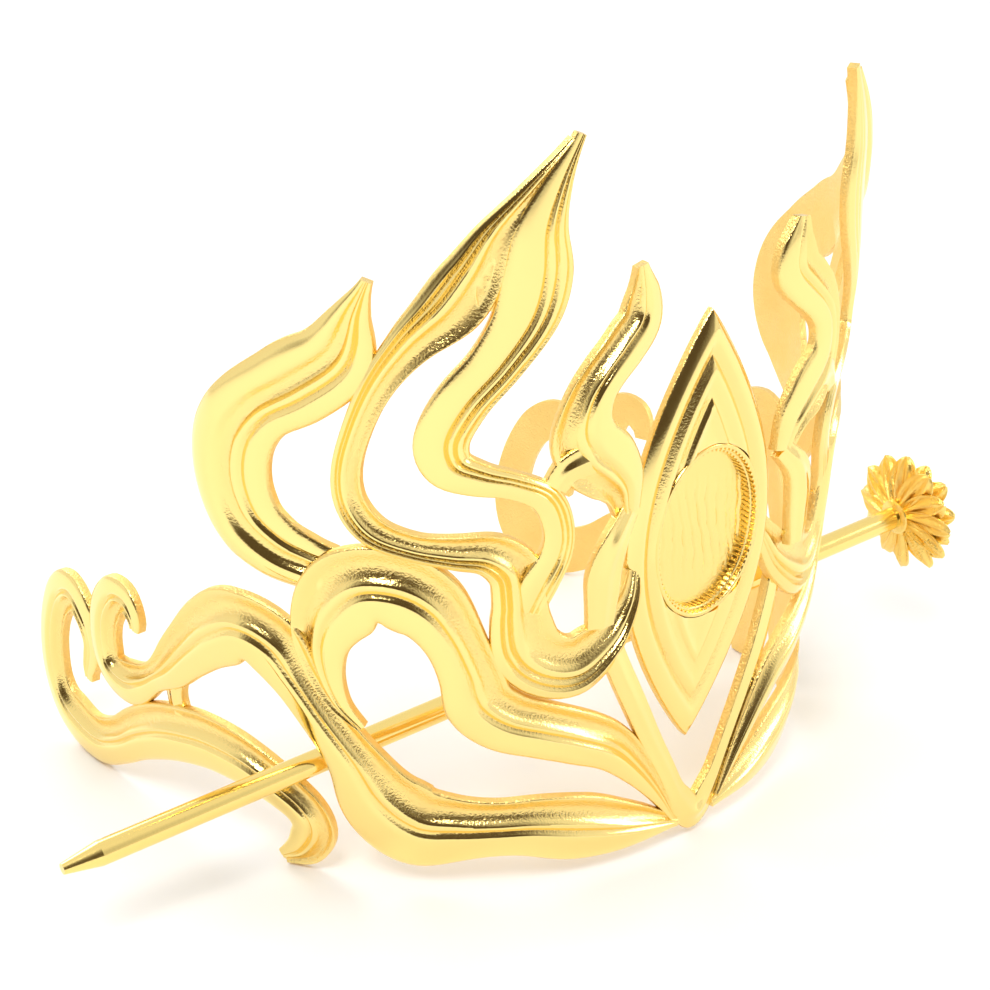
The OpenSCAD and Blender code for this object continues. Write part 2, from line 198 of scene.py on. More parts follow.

# %% [markdown]
# ## The strands
# A strand is a table of rows: distance along the plan, height, half width, and
# lift off the surface. A smooth curve runs through the rows, and a cross-section
# is swept along it. On the real crown most strands have a wide hollow on one
# side, two or three crest lines with a groove between them, and a smooth flank.
# The rows were placed where the strand's middle lies in the picture when it is
# seen through the camera above. The word before each table says which
# cross-section it has. A lift below zero at an end makes the strand dive behind
# its neighbour.

# %% Tables of the flames
FLAMES = {
    "front_leg": ("flank", [
        (22.8, 101.6, 0.4, 0), (25.2, 96.2, 1.6, 0), (26.8, 91, 2.9, 0), (27.1, 85.5, 3.9, 0),
        (28.3, 80.4, 3.7, 0), (31.4, 75, 3.1, 0), (35, 70.2, 3.1, 0), (37.1, 65.4, 3, 0),
        (36.3, 61.8, 2.9, 0), (33.2, 60.2, 2.2, 0), (29.3, 59, 1.7, 0), (25.8, 56.9, 1.9, 0),
        (24.3, 53.1, 1.8, 0), (24.4, 49.5, 1.9, 0), (26.2, 45.4, 2.4, -0.1),
        (27.6, 41.4, 2, -0.7)]),
    "rear_leg": ("triple", [
        (23.6, 101, 0.4, 0), (28, 95.6, 1.1, 0), (31.5, 91, 1.8, 0), (33.8, 86, 3.4, 0),
        (36.3, 81.8, 3.7, 0), (40.2, 77.6, 2.5, 0), (43.4, 72.8, 1.9, 0), (45.7, 67.3, 1.6, 0),
        (47.2, 61.5, 1.6, 0), (46.9, 57, 1.8, 0.2), (44.6, 53.4, 2.1, 0.4),
        (40.5, 51.5, 1.8, 0.4), (36, 50.6, 2.3, 0.3), (32, 50, 2.9, 0.1), (29.3, 47.5, 3.2, 0),
        (28.6, 43.5, 3.1, 0), (28.4, 40.5, 3.6, 0), (27.6, 36.4, 4.3, 0), (25.2, 33.8, 4.7, 0),
        (21.5, 32.9, 4.9, 0), (17.6, 34.9, 3.7, -0.4), (15.2, 37, 2.9, -0.9),
        (13.2, 40, 2, -1.4), (12, 42.6, 1.2, -2.4)]),
    "head_web": ("flat", [
        (23.8, 100, 0.7, -0.4), (28, 93.6, 1.7, -0.5), (30.8, 87.4, 2.8, -0.5),
        (31.6, 81.4, 1.6, -0.5)]),
    "rear_flame": ("cupped", [
        (44.3, 85.4, 0.4, 0), (46, 81.4, 2, 0), (48, 75.9, 4.6, 0), (52.6, 71.8, 5.2, 0),
        (57.3, 68.3, 4.7, 0), (60.4, 63.7, 5.1, 0), (61.3, 58.1, 5.3, 0), (59.8, 52.8, 5.2, 0),
        (56.4, 49.3, 4.6, -0.3), (52.9, 47.5, 4, -0.9), (50.2, 46.6, 3.3, -1.3)]),
    "inner_flame": ("fluted", [
        (14.2, 84.3, 0.4, 0), (13.7, 80.8, 2.8, 0), (13.9, 77.5, 3.7, 0), (16.3, 74.8, 3.5, 0),
        (19, 72, 3.2, 0), (20.8, 69, 3, 0), (21.5, 65, 3.9, 0), (20.2, 61.8, 4.8, 0),
        (17.6, 59, 4.3, 0), (15.5, 56, 3.2, -0.3), (14.6, 52.1, 1.7, -0.8)]),
    "inner_link": ("ridged", [
        (20.4, 61.4, 2.4, -0.1), (23.3, 60.3, 1.9, -0.1), (24.8, 58.2, 1.4, -0.1)]),
    "leaf": ("ridged", [
        (14.2, 52.4, 1.4, -0.8), (16.6, 49.4, 2, 0), (18, 45.5, 2.6, 0), (18.2, 41.5, 2.3, 0),
        (18.4, 37.6, 1.8, 0)]),
}
print("flame strands:", ", ".join(FLAMES))

# %% Tables of the lower strands and of the front V
LOWER_STRANDS = {
    "arch": ("fluted", [
        (4.4, 3.8, 0.4, 0), (7.6, 9, 1.4, 0), (11.5, 14.3, 2.4, 0), (15.5, 18.6, 3.3, 0),
        (20.3, 21.5, 3.9, 0), (25, 23.6, 4.1, 0), (29.8, 25.6, 4.4, 0), (33, 28.6, 4.4, 0),
        (34.2, 33, 3.7, 0), (36.2, 38.4, 3.7, 0), (38.8, 42.6, 4.9, 0), (42.4, 44.7, 6.1, 0),
        (46.8, 44.5, 6.3, 0), (50, 41, 5, 0), (51.6, 36.5, 3.5, 0), (51.3, 31.9, 2.3, 0),
        (49.8, 27.8, 1.4, 0), (47.2, 24.6, 0.5, 0)]),
    "sweep": ("fluted", [
        (3.4, 2.8, 0.4, 0), (8.3, 4.3, 2.4, 0), (13.8, 5.7, 4, 0), (19.9, 7.4, 5.1, 0),
        (26, 8.8, 4.7, 0), (31, 9.1, 4.4, 0), (36, 9.2, 5.2, 0), (41, 9.6, 6.6, 0),
        (45.4, 13.2, 6.1, 0), (48.5, 19.2, 3.9, 0), (52.2, 25.3, 3.4, 0), (55.4, 30.7, 3.8, 0),
        (58.2, 34.8, 5.4, 0), (62.8, 36.3, 5.7, 0), (68, 33.4, 4.8, 0), (73.3, 28.6, 3.9, 0),
        (77.4, 24.6, 3.3, 0), (80.9, 21.9, 2, 0), (84.1, 19.7, 2.8, 0), (88, 18.1, 3.6, 0),
        (91.8, 19.2, 3.5, 0), (92.8, 23.1, 3.4, 0), (91.6, 27.8, 3.2, 0), (88.6, 31.2, 3.1, 0),
        (85.6, 31.4, 2.6, 0), (84.2, 29.2, 1.8, 0), (84.2, 27.6, 0.7, 0)]),
    "short_leg": ("ridged", [
        (75.6, 25, 1.9, -0.3), (76.9, 21.4, 1.6, -0.4), (77.2, 17.4, 1.9, -0.8)]),
    "rear_strand": ("fluted", [
        (60.1, 1, 0.7, 0), (57, 2.9, 2.9, 0), (55.1, 6.4, 3.1, 0), (56.2, 9.8, 3.3, 0),
        (60.1, 12.8, 3.7, 0), (65, 15, 4.4, 0), (71, 15.5, 4.5, 0), (77.2, 14.3, 4.4, 0),
        (82.4, 12.5, 4.3, 0), (87.8, 9.7, 3.9, 0), (92.8, 6.5, 3.5, 0), (98.2, 4.3, 3.9, 0),
        (103, 4.6, 4.6, 0), (107, 6.4, 4.3, 0), (109, 10.2, 3.4, 0), (109.1, 14.8, 3.2, 0),
        (107.6, 20.4, 3, 0), (104.6, 25.2, 3.1, 0), (100.6, 27, 3.4, 0), (97.6, 24.2, 2.9, 0),
        (96.7, 20.4, 2, 0), (97.6, 17.4, 1.7, 0), (98.4, 15.6, 1.6, 0), (98.5, 14.2, 0.6, 0)]),
}
FRAME_ARM = [
    (0, 3.15, 3.15, 0), (3.3, 6.5, 1.7, 0), (6.4, 12.4, 1.5, 0), (9.4, 18.1, 1.6, 0),
    (12.2, 24, 1.7, 0), (14.6, 29.4, 1.7, -0.3), (16, 33, 1.6, -0.6)]
print("lower strands:", ", ".join(LOWER_STRANDS))

# %% [markdown]
# ## Cross-sections
# Each is a list from one edge of the strand to the other: place across from -1
# to 1, height, and satin, which also paints shade. Hollows get some satin and
# painted shade and crests get none. A line that is flat at each crest and hollow
# runs through the points, as on a casting whose wax was worked with a round tool,
# so no crest overshoots its number.

# %% Cross-sections, from one edge to the other: place, height, satin with painted shade
SECTIONS = {
    "fluted": [
        (-1, 0.55, 1), (-0.94, 0.92, 0.3), (-0.87, 0.8, 0.3), (-0.58, 0.1, 0.6),
        (-0.34, 0.6, 0.4), (-0.16, 1.5, 0), (-0.08, 1.4, 0), (0.05, 0.95, 0.35), (0.18, 1.4, 0),
        (0.27, 1.52, 0), (0.45, 1.45, 0), (0.75, 1.25, 0), (0.93, 0.95, 0.1), (1, 0.55, 1)],
    "flank": [
        (-1, 0.5, 1), (-0.95, 0.85, 0.2), (-0.75, 1.15, 0), (-0.35, 1.42, 0), (0.05, 1.45, 0),
        (0.17, 1.0, 0.35), (0.3, 1.5, 0), (0.38, 1.5, 0), (0.5, 0.95, 0.35), (0.62, 1.4, 0),
        (0.7, 1.4, 0), (0.85, 0.75, 0.2), (0.95, 0.85, 0.2), (1, 0.5, 1)],
    "cupped": [
        (-1, 0.45, 1), (-0.95, 0.7, 0.2), (-0.8, 1.2, 0), (-0.55, 1.5, 0), (-0.38, 1.35, 0),
        (-0.12, 0.35, 0.35), (0.08, 0.5, 0.3), (0.2, 1.4, 0), (0.28, 1.45, 0), (0.4, 0.9, 0.3),
        (0.55, 1.45, 0), (0.7, 1.3, 0), (0.93, 0.9, 0.2), (1, 0.5, 1)],
    "triple": [
        (-1, 0.5, 1), (-0.95, 0.85, 0.2), (-0.82, 1.15, 0), (-0.7, 1.4, 0), (-0.6, 1.0, 0.35),
        (-0.48, 1.5, 0), (-0.36, 0.95, 0.35), (-0.22, 1.5, 0), (-0.12, 1.5, 0),
        (0.15, 0.45, 0.4), (0.5, 0.1, 0.6), (0.86, 0.8, 0.3), (0.94, 0.9, 0.3), (1, 0.55, 1)],
    "ridged": [
        (-1, 0.5, 1), (-0.93, 0.85, 0.2), (-0.5, 1.1, 0), (-0.12, 1.6, 0), (0, 1.7, 0),
        (0.12, 1.6, 0), (0.5, 1.1, 0), (0.93, 0.85, 0.2), (1, 0.5, 1)],
    "flat": [(-1, 0.5, 1), (-0.9, 0.8, 0.7), (0, 0.7, 0.7), (0.9, 0.8, 0.7), (1, 0.5, 1)],
}
SAMPLES = 3  # points between one point of a cross-section and the next


def eased(points):
    """Smooth line through section points, flat at each crest and hollow."""
    points = np.array(points, float)
    spans = zip(points[:-1, 0], points[1:, 0])
    across = np.concatenate([np.linspace(a, b, SAMPLES, endpoint=False) for a, b in spans]
                            + [[points[-1, 0]]])
    slope = np.diff(points[:, 1]) / np.diff(points[:, 0])
    same = slope[:-1] * slope[1:] > 0
    both = np.where(same, slope[:-1] + slope[1:], 1)
    inner = np.where(same, 2 * slope[:-1] * slope[1:] / both, 0)
    tangent = np.concatenate([[slope[0]], inner, [slope[-1]]])
    k = np.clip(np.searchsorted(points[:, 0], across, "right") - 1, 0, len(points) - 2)
    width = points[k + 1, 0] - points[k, 0]
    t = (across - points[k, 0]) / width
    high = ((2 * t**3 - 3 * t**2 + 1) * points[k, 1] + (t**3 - 2 * t**2 + t) * width * tangent[k]
            + (3 * t**2 - 2 * t**3) * points[k + 1, 1] + (t**3 - t**2) * width * tangent[k + 1])
    return across, high, np.interp(across, points[:, 0], points[:, 2])


print("points across each section:", {name: len(eased(s)[0]) for name, s in SECTIONS.items()})

# %% [markdown]
# ## The sweep
# A Bezier curve with a bevel profile could sweep a section too. But it scales
# the whole section with the width, so narrow places would grow thin, and at a
# tight bend its inner edge folds over itself. Here each ring of points is worked
# out: the thickness stays, the relief fades where the strand is narrow, and the
# inner edge of a bend stops short of the bend's centre.

# %% A smooth curve through a table
STEP = 0.7  # mm from one ring to the next


def smooth_rows(table):
    """Rows of a smooth curve through the table, about one step apart."""
    rows = np.array(table, float)
    padded = np.vstack([2 * rows[0] - rows[1], rows, 2 * rows[-1] - rows[-2]])
    fine = []
    for a, b, c, d in zip(padded[:-3], padded[1:-2], padded[2:-1], padded[3:]):
        count = max(2, math.ceil(np.hypot(*(c - b)[:2]) / STEP))
        t = np.linspace(0, 1, count, endpoint=False)[:, None]
        fine.append(0.5 * (2 * b + (c - a) * t + (2 * a - 5 * b + 4 * c - d) * t**2
                           + (3 * b - a - 3 * c + d) * t**3))
    return np.vstack(fine + [rows[-1:]])


print("rings on the sweep:", len(smooth_rows(LOWER_STRANDS["sweep"][1])))


# %% Closed meshes from rings of points, with faces that point outwards
def signed_volume(mesh):
    """Volume in cubic metres, negative where the faces point inwards."""
    mesh.calc_loop_triangles()
    points = np.empty(len(mesh.vertices) * 3)
    mesh.vertices.foreach_get("co", points)
    corners = np.empty(len(mesh.loop_triangles) * 3, int)
    mesh.loop_triangles.foreach_get("vertices", corners)
    p = points.reshape(-1, 3)[corners.reshape(-1, 3)]
    return float(np.einsum("ij,ij->i", p[:, 0], np.cross(p[:, 1], p[:, 2])).sum() / 6)


def outwards(mesh):
    """The mesh with its faces turned outwards."""
    if signed_volume(mesh) < 0:
        mesh.flip_normals()
    return mesh


def ring_mesh(name, rings, satin_and_shade, round_trip=False):
    """A closed mesh from rings: its ends are filled, or meet on a round trip.

    Satin, which also paints shade, is one number, one for each point of a ring,
    or a column of one for each ring.
    """
    count, size = rings.shape[:2]
    i, j = np.meshgrid(np.arange(count if round_trip else count - 1), np.arange(size),
                       indexing="ij")
    here, there, beside = i * size, (i + 1) % count * size, (j + 1) % size
    quads = np.stack([here + j, here + beside, there + beside, there + j], axis=-1)
    faces = quads.reshape(-1, 4).tolist()
    if not round_trip:
        faces += [list(range(size))[::-1], [(count - 1) * size + k for k in range(size)]]
    mesh = bpy.data.meshes.new(name)
    mesh.from_pydata(rings.reshape(-1, 3).tolist(), [], faces)
    # The attribute gives both the sandy finish and the painted shade of the gold.
    values = np.broadcast_to(np.asarray(satin_and_shade, float), (count, size)).ravel()
    mesh.attributes.new("satin_and_shade", "FLOAT", "POINT").data.foreach_set("value", values)
    mesh.update()
    return outwards(mesh)


# %% Sweep a section along a table
RIM, BACK = 1.3, 1.05  # mm thick where a section's height is 1, and mm behind the surface
RELIEF, FULL_HALF = 0.9, 3.2  # mm for 1 of height, and the half width that has all of it
LEAST_HALF, BEND_SHARE = 0.3, 0.7  # mm, and share of a bend's radius
WINDOW = 9  # rows in a running mean


def softened(values):
    """Running mean, so that a sudden dip in width loses its corners."""
    return np.convolve(np.pad(values, WINDOW // 2, "edge"), np.ones(WINDOW) / WINDOW, "valid")


def strand_mesh(name, table, section, plan=LEFT_PLAN):
    """One closed strand: rings of a section along the table's curve."""
    rows = smooth_rows(table)
    across, high, satin_and_shade = eased(SECTIONS[section])
    path, lift = rows[:, :2], rows[:, 3:4]
    ahead = np.gradient(path, axis=0)
    length = np.maximum(np.hypot(ahead[:, 0], ahead[:, 1]), 1e-6)
    heading = softened(np.unwrap(np.arctan2(ahead[:, 1], ahead[:, 0])))
    left = np.stack([-np.sin(heading), np.cos(heading)], axis=1)
    curvature = softened(np.gradient(heading) / length)
    half = np.maximum(rows[:, 2], LEAST_HALF)
    full = np.minimum(1, half / FULL_HALF)
    # Towards the inside of a bend the strand may not reach its centre.
    reach = [softened(np.minimum(half, BEND_SHARE / np.maximum(side * curvature, 1e-6)))
             for side in (1, -1)]
    wide = np.where(across[None, :] < 0, reach[0][:, None], reach[1][:, None]) * -across[None, :]

    def placed(wide, rise):
        return on_wing(path[:, :1] + left[:, :1] * wide, path[:, 1:] + left[:, 1:] * wide, rise,
                       plan)

    face = placed(wide, RIM + (high[None, :] - 1) * RELIEF * full[:, None] - BACK + lift)
    back = placed(wide[:, [-1, len(across) // 2, 0]], np.repeat(-BACK + lift, 3, axis=1))
    # Satin, with its painted shade, is full on the back.
    return ring_mesh(name, np.concatenate([face, back], axis=1),
                     np.concatenate([satin_and_shade, [1, 1, 1]]))


# %% [markdown]
# ## Solder the strands into one piece
# The real crown shows no seams, only creases where one strand dives under the
# next. Meshes that merely overlap would look nearly the same, but they keep
# hidden walls inside the metal, which spoil a print and a weight. A Boolean
# union of closed meshes removes what lies inside another strand, and the creases
# stay sharp.


# %% Union of closed meshes
def add_object(name, mesh):
    obj = bpy.data.objects.new(name, mesh)
    bpy.context.collection.objects.link(obj)
    return obj


def settled(obj, name):
    """The evaluated object as a plain mesh object of its own."""
    ready = obj.evaluated_get(bpy.context.evaluated_depsgraph_get())
    mesh = bpy.data.meshes.new_from_object(ready)
    bpy.data.objects.remove(obj)
    return add_object(name, mesh)


def combined(name, meshes, operation="UNION"):
    """The first mesh joined with, or cut by, all the others."""
    first = add_object(name, meshes[0])
    for mesh in meshes[1:]:
        other = add_object("other", mesh)
        joint = first.modifiers.new("join", "BOOLEAN")
        joint.operation, joint.solver, joint.object = operation, "MANIFOLD", other
        first = settled(first, name)
        bpy.data.objects.remove(other)
    return first


# %% Two wings and the front V
def mirrored_copy(mesh, name):
    """The same mesh on the other side of the mirror plane."""
    copy = mesh.copy()
    copy.name = name
    copy.transform(Matrix.Scale(-1, 4, (1, 0, 0)))
    return outwards(copy)


def wing(name, plan):
    """All strands of one wing as one mesh, on the right of the mirror plane."""
    strands = {**FLAMES, **LOWER_STRANDS}
    return combined(name, [strand_mesh(strand, table, section, plan)
                           for strand, (section, table) in strands.items()])


right_wing, left_wing = wing("right_wing", RIGHT_PLAN), wing("left_wing", LEFT_PLAN)
left_mesh = mirrored_copy(left_wing.data, "left_mesh")
arms = [(-along, up, half, lift) for along, up, half, lift in FRAME_ARM[:0:-1]] + FRAME_ARM
front_mesh = strand_mesh("front_frame", arms, "ridged")
print("one wing:", len(right_wing.data.polygons), "faces")

# %% [markdown]
# ## The plaque
# The plaque is a marquise with a polished bevel, a groove, a ridge and a second,
# smaller marquise raised inside it. A plate with a Bevel modifier would give one
# step. These are many, and they all run parallel, so the mesh is made of rings
# that are insets of one outline, each at its own height.

# %% Plaque: outline and steps of inset, height and satin with painted shade
PLAQUE_HALF_W, PLAQUE_HALF_H = 12.8, 30.7
TIP_INSET = 1.8  # the tips move in by this for 1 at the sides
FULLNESS = 0.9  # power of the cosine outline, fuller below 1
# The satin also paints a deeper orange as shade, most on the outer edge and in the grooves.
PLAQUE_STEPS = [
    (0, -1.5, 1), (0, -0.8, 0.6), (0.12, -0.6, 0.2), (0.25, -0.5, 0), (1.1, 0.28, 0),
    (1.45, 0.4, 0), (2, 0.4, 0), (2.3, 0.3, 0), (3.1, -0.22, 0.4), (3.35, -0.26, 0.4),
    (4.15, 0.46, 0.1), (4.4, 0.56, 0), (4.7, 0.54, 0), (5.6, 0.1, 0.3), (6.5, 0.14, 0.3),
    (6.85, 0.5, 0), (7.1, 0.62, 0), (7.4, 0.56, 0), (8.3, 0.24, 0.2), (9.5, 0.25, 0.2),
    (12.6, 0.3, 0.2)]
PLAQUE_SIDE_POINTS = 90
PLAQUE_MIDDLE, PLAQUE_TURN, PLAQUE_LEAN = (0, 0.5, 44.4), -5, 91.8
PLAQUE_AT = (Matrix.Translation(Vector(PLAQUE_MIDDLE) * MM)
             @ Matrix.Rotation(math.radians(PLAQUE_TURN), 4, "Z")
             @ Matrix.Rotation(math.radians(PLAQUE_LEAN), 4, "X"))


def marquise(inset, height):
    """A closed ring of points in the plaque's own plane, in metres."""
    half_w, half_h = PLAQUE_HALF_W - inset, max(PLAQUE_HALF_H - TIP_INSET * inset, 0.5)
    t = np.linspace(-1, 1, PLAQUE_SIDE_POINTS, endpoint=False)
    side = np.stack([half_w * np.cos(np.pi / 2 * t) ** FULLNESS, half_h * t,
                     np.full_like(t, height)], axis=1)
    other = side * [-1, -1, 1]
    return np.concatenate([side, other]) * MM


print("plaque:", 2 * PLAQUE_HALF_W, "x", 2 * PLAQUE_HALF_H, "mm,", len(PLAQUE_STEPS), "steps")


# %% The oval hole for the stone's cup
STONE_HALF_W, STONE_HALF_H, CUP_WALL, CUP_GAP = 8.7, 11.5, 0.7, 0.08
OUTER_W, OUTER_H = STONE_HALF_W + CUP_WALL, STONE_HALF_H + CUP_WALL
STONE_AT = Matrix.Translation(Vector((0.8, 0.1, 0)) * MM)
HOLE_SIDES, CUTTER_DEEP = 160, 5


def hole_cutter():
    """An oval prism, a little larger than the cup, right through the plaque."""
    turn = np.linspace(0, 2 * np.pi, HOLE_SIDES, endpoint=False)
    half_w, half_h = OUTER_W + CUP_GAP, OUTER_H + CUP_GAP
    ring = np.stack([half_w * np.cos(turn), half_h * np.sin(turn)], axis=1)
    rings = np.stack([np.column_stack([ring, np.full(HOLE_SIDES, z)])
                      for z in (-CUTTER_DEEP, CUTTER_DEEP)]) * MM
    mesh = ring_mesh("cutter", rings, 1)
    mesh.transform(STONE_AT)
    return mesh


def plaque_mesh():
    """The stepped marquise with its hole, in its place on the crown."""
    rings = np.stack([marquise(inset, height) for inset, height, _ in PLAQUE_STEPS])
    mesh = ring_mesh("plaque_plate", rings, [[satin_and_shade] for _, _, satin_and_shade in PLAQUE_STEPS])
    plate = combined("plate", [mesh, hole_cutter()], "DIFFERENCE")
    result = plate.data.copy()
    bpy.data.objects.remove(plate)
    result.transform(PLAQUE_AT)
    return result


crown = combined("crown_metal", [right_wing.data.copy(), left_mesh, front_mesh, plaque_mesh()])
for wing_object in (right_wing, left_wing):
    bpy.data.objects.remove(wing_object)
print("crown:", len(crown.data.polygons), "faces,", round(signed_volume(crown.data) * 1e9), "mm3")

# %% [markdown]
# ## Shade the metal
# Relief looks soft and creases look crisp. Smooth shading alone would smear the
# light over both. So all faces are smooth, and an edge is marked sharp where its
# two faces meet at more than a set angle, which is where strands cross.

# %% Creases stay sharp where strands meet
CROWN_CREASE, FINE_CREASE = 38, 50  # degrees


def finish_metal(obj, material, crease):
    """One material, smooth faces, and sharp edges at every crease."""
    obj.data.materials.clear()
    obj.data.materials.append(material)
    obj.data.shade_smooth()
    obj.data.set_sharp_from_angle(angle=math.radians(crease))


finish_metal(crown, crown_gold, CROWN_CREASE)
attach(crown, "crown")
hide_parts("crown_frame")
print("crown's size in metres:", [round(x, 4) for x in crown.dimensions])

# %% [markdown]
# ## The stone cup
# The cup is cut with fine reeds inside and out, like the edge of a coin, in two
# steps. Copies turned about the middle would bunch up on the oval's long sides.
# Geometry Nodes set them evenly: a circle is stretched to the oval, cut into
# equal lengths, and a small bar stands on each point. The reed is drawn once, so
# its size and the count change in one place for all three rings.


# %% Begin and end a tree of nodes, and make its result plain
def new_tree(name, sockets):
    """A tree, the outputs of its input node, and each input's identifier."""
    tree = bpy.data.node_groups.new(name, "GeometryNodeTree")
    tree.interface.new_socket("Geometry", in_out="OUTPUT", socket_type="NodeSocketGeometry")
    ids = {socket: tree.interface.new_socket(
        socket, in_out="INPUT", socket_type="NodeSocket" + kind).identifier
        for socket, kind in sockets.items()}
    return tree, tree.nodes.new("NodeGroupInput").outputs, ids


def end_tree(tree, copies, material):
    """Make the copies real, give them the material, and put them out."""
    real = add_node(tree, "GeometryNodeRealizeInstances", {"Geometry": copies})
    paint = add_node(tree, "GeometryNodeSetMaterial", {
        "Geometry": real.outputs["Geometry"], "Material": material})
    add_node(tree, "NodeGroupOutput", {"Geometry": paint.outputs["Geometry"]})


def nodes_object(name, tree, values):
    """An object whose modifier runs the tree with these inputs, made plain."""
    obj = add_object(name + "_tree", bpy.data.meshes.new(name))
    modifier = obj.modifiers.new("nodes", "NODES")
    modifier.node_group = tree
    for identifier, value in values.items():
        modifier[identifier] = value
    return settled(obj, name)


# %% A tree of reeds round an oval
def reed_tree():
    tree, given, ids = new_tree("reeds round an oval", {
        "Half width": "Float", "Half height": "Float", "Count": "Int", "Reed radius": "Float",
        "Bottom": "Float", "Top": "Float", "Material": "Material"})
    circle = add_node(tree, "GeometryNodeCurvePrimitiveCircle", {"Radius": 1, "Resolution": 256})
    stretch = add_node(tree, "ShaderNodeCombineXYZ", {
        "X": given["Half width"], "Y": given["Half height"], "Z": 1})
    oval = add_node(tree, "GeometryNodeTransform", {
        "Geometry": circle.outputs["Curve"], "Scale": stretch.outputs["Vector"]})
    points = add_node(tree, "GeometryNodeCurveToPoints", {
        "Curve": oval.outputs["Geometry"], "Count": given["Count"]})
    tall = add_node(tree, "ShaderNodeMath", {
        0: given["Top"], 1: given["Bottom"]}, operation="SUBTRACT")
    reed = add_node(tree, "GeometryNodeMeshCylinder", {
        "Vertices": 8, "Radius": given["Reed radius"], "Depth": tall.outputs["Value"]})
    middle = add_node(tree, "ShaderNodeMath", {
        0: tall.outputs["Value"], 1: 0.5, 2: given["Bottom"]}, operation="MULTIPLY_ADD")
    lift = add_node(tree, "ShaderNodeCombineXYZ", {"Z": middle.outputs["Value"]})
    raised = add_node(tree, "GeometryNodeTransform", {
        "Geometry": reed.outputs["Mesh"], "Translation": lift.outputs["Vector"]})
    copies = add_node(tree, "GeometryNodeInstanceOnPoints", {
        "Points": points.outputs["Points"], "Instance": raised.outputs["Geometry"]})
    end_tree(tree, copies.outputs["Instances"], given["Material"])
    return tree, ids


REEDS = 80
reeds, reed_ids = reed_tree()


def reed_ring(inset, radius, bottom, top):
    """Reeds on an oval that lies some mm inside the cup's outer edge."""
    made = nodes_object("reed_ring", reeds, {
        reed_ids["Half width"]: (OUTER_W - inset) * MM,
        reed_ids["Half height"]: (OUTER_H - inset) * MM,
        reed_ids["Count"]: REEDS, reed_ids["Reed radius"]: radius * MM,
        reed_ids["Bottom"]: bottom * MM, reed_ids["Top"]: top * MM,
        reed_ids["Material"]: cup_gold})
    made.data.transform(STONE_AT)
    return made


print("reeds in each ring:", REEDS)

# %% [markdown]
# ## The cup's wall and floor
# The wall is a loop of steps taken round the oval, as a lathe would do it if it
# could follow an oval. The floor was scored by hand so that glue holds. A bump
# in the material would fake the scores, but they are real cuts here, with a
# small burr beside each, so that they are also in the mesh itself.

# %% Wall in two steps
CUP_DEPTH, CUP_RIM, FLOOR = 5.2, 0.4, -1.2
# The wall's satin also tints it a little deeper orange, the painted shade of the sandy skin.
WALL_SIDES, WALL_SATIN_AND_SHADE = 200, 0.2
WALL_STEPS = [
    (0.3, -CUP_DEPTH), (0.3, -1.7), (0.02, -1.6), (0.02, CUP_RIM - 0.1), (0.12, CUP_RIM),
    (0.52, CUP_RIM), (0.62, CUP_RIM - 0.1), (0.7, -0.3), (1.05, -0.35), (1.15, -0.45),
    (1.15, FLOOR - 0.3), (1.1, FLOOR - 0.5), (1.0, -CUP_DEPTH)]


def cup_wall():
    """A closed ring round the oval from the loop of (inset, height) steps."""
    inset, height = np.array(WALL_STEPS, float).T
    rings = np.stack([
        np.stack([(OUTER_W - inset) * np.cos(a), (OUTER_H - inset) * np.sin(a), height], axis=1)
        for a in np.linspace(0, 2 * np.pi, WALL_SIDES, endpoint=False)]) * MM
    mesh = ring_mesh("wall", rings, WALL_SATIN_AND_SHADE, round_trip=True)
    mesh.transform(STONE_AT)
    return mesh


print("cup outside:", round(2 * OUTER_W, 1), "x", round(2 * OUTER_H, 1), "mm")


# %% Scored floor
# The floor's satin also tints it a little deeper orange, the painted shade of the sandy skin.
FLOOR_RINGS, FLOOR_SIDES, FLOOR_SATIN_AND_SHADE = 46, 150, 0.25
FLOOR_EDGE, FLOOR_THICK = 0.3, 0.8
SCORES, SCORE_REACH = 9, 0.72
SCORE_DEEP, SCORE_WIDE, BURR_HIGH, BURR_WIDE, BURR_BESIDE = 0.12, 0.07, 0.06, 0.1, 0.16


def scored_floor():
    """An oval floor with fine wavy score lines, as a thin closed slab."""
    radius = np.linspace(0.02, 1, FLOOR_RINGS)[:, None]
    turn = np.linspace(0, 2 * np.pi, FLOOR_SIDES, endpoint=False)[None, :]
    x = (STONE_HALF_W + FLOOR_EDGE) * radius * np.cos(turn)
    y = (STONE_HALF_H + FLOOR_EDGE) * radius * np.sin(turn)
    # The lines lean and wander a little, as a hand does, and fade at the oval's ends.
    wave = x + 0.16 * y + 0.4 * np.sin(y * 0.45 + x * 0.4) + 0.1 * np.sin(y * 1.9 + x)
    spacing = 1.8 * STONE_HALF_W / SCORES
    place = (wave / spacing + 0.5) % 1 - 0.5
    long = np.clip(1.15 - (y / (STONE_HALF_H * SCORE_REACH)) ** 4, 0, 1)
    dip = (BURR_HIGH * np.exp(-((place - BURR_BESIDE) / BURR_WIDE) ** 2)
           - SCORE_DEEP * np.exp(-(place / SCORE_WIDE) ** 2)) * long
    top = np.stack([x, y, FLOOR + dip], axis=-1)
    under = np.stack([x[-1], y[-1], np.full(FLOOR_SIDES, FLOOR - FLOOR_THICK)], axis=-1)[None]
    mesh = ring_mesh("floor", np.concatenate([top, under])[::-1] * MM, FLOOR_SATIN_AND_SHADE)
    mesh.transform(STONE_AT)
    return mesh


# %% Put the cup together
def joined(name, objects):
    """Several objects' meshes as one object."""
    with bpy.context.temp_override(active_object=objects[0], selected_editable_objects=objects,
                                   selected_objects=objects):
        bpy.ops.object.join()
    objects[0].name = objects[0].data.name = name
    return objects[0]


